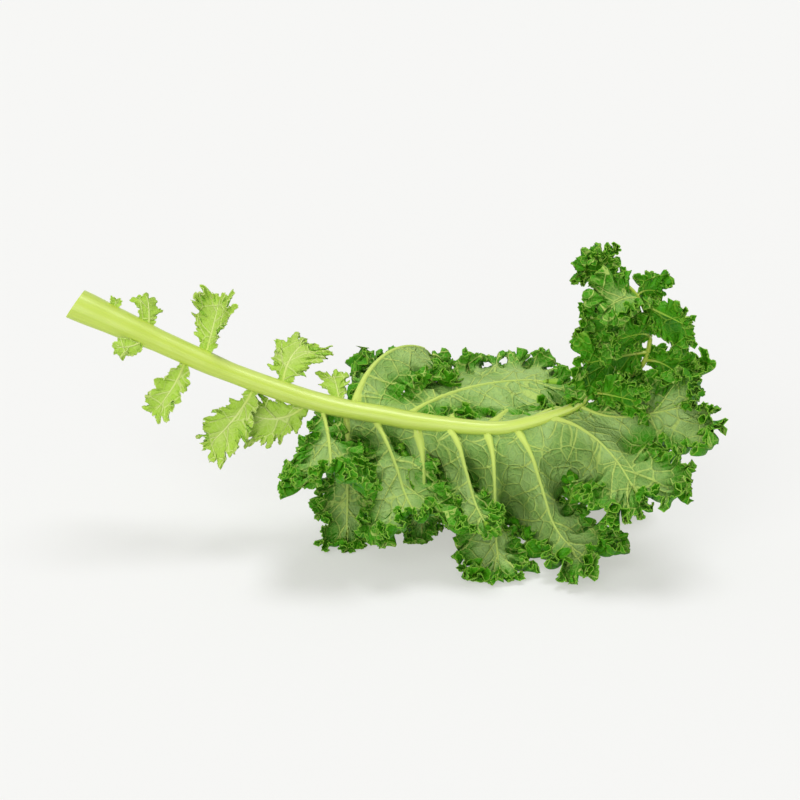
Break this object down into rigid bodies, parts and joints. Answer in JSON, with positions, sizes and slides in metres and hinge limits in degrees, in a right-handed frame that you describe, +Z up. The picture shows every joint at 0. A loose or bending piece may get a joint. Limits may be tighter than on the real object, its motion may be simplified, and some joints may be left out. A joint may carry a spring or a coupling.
{
  "type": "curly kale leaf",
  "caption": "Cut leaf of curly kale lying on its blade: a thick pale stalk runs on as the midrib of deeply lobed, ruffled half blades, with small leaflets on the stalk and an upturned end.",
  "frame": {"origin": "middle of the leaf's box, on the surface that it lies on", "axes": "+X from the cut end of the stalk to the end of the leaf, +Z up, pale underside up"},
  "size_m": [0.3364, 0.1424, 0.1664],
  "materials": {
    "stalk": "satin",
    "underside": "matte",
    "young_leaf": "matte",
    "upper_side": "satin"
  },
  "bodies": {
    "root": {"stalk": "stalk", "near_half_blade": "underside", "far_half_blade": "underside", "leaflet_upper_1": "young_leaf", "leaflet_upper_2": "young_leaf", "leaflet_upper_3": "young_leaf", "leaflet_upper_4": "young_leaf", "leaflet_upper_5": "young_leaf", "leaflet_lower_1": "young_leaf", "leaflet_lower_2": "young_leaf", "leaflet_lower_3": "young_leaf", "leaflet_lower_4": "young_leaf", "end_lobe_right_0": "upper_side", "end_lobe_right_1": "upper_side", "end_lobe_right_2": "upper_side", "end_lobe_right_3": "upper_side", "end_lobe_right_4": "upper_side", "end_lobe_left_1": "upper_side", "end_lobe_left_2": "upper_side", "end_lobe_left_3": "upper_side", "end_lobe_left_4": "upper_side", "end_lobe_left_5": "upper_side", "end_lobe_last": "upper_side"}
  },
  "joints": []
}
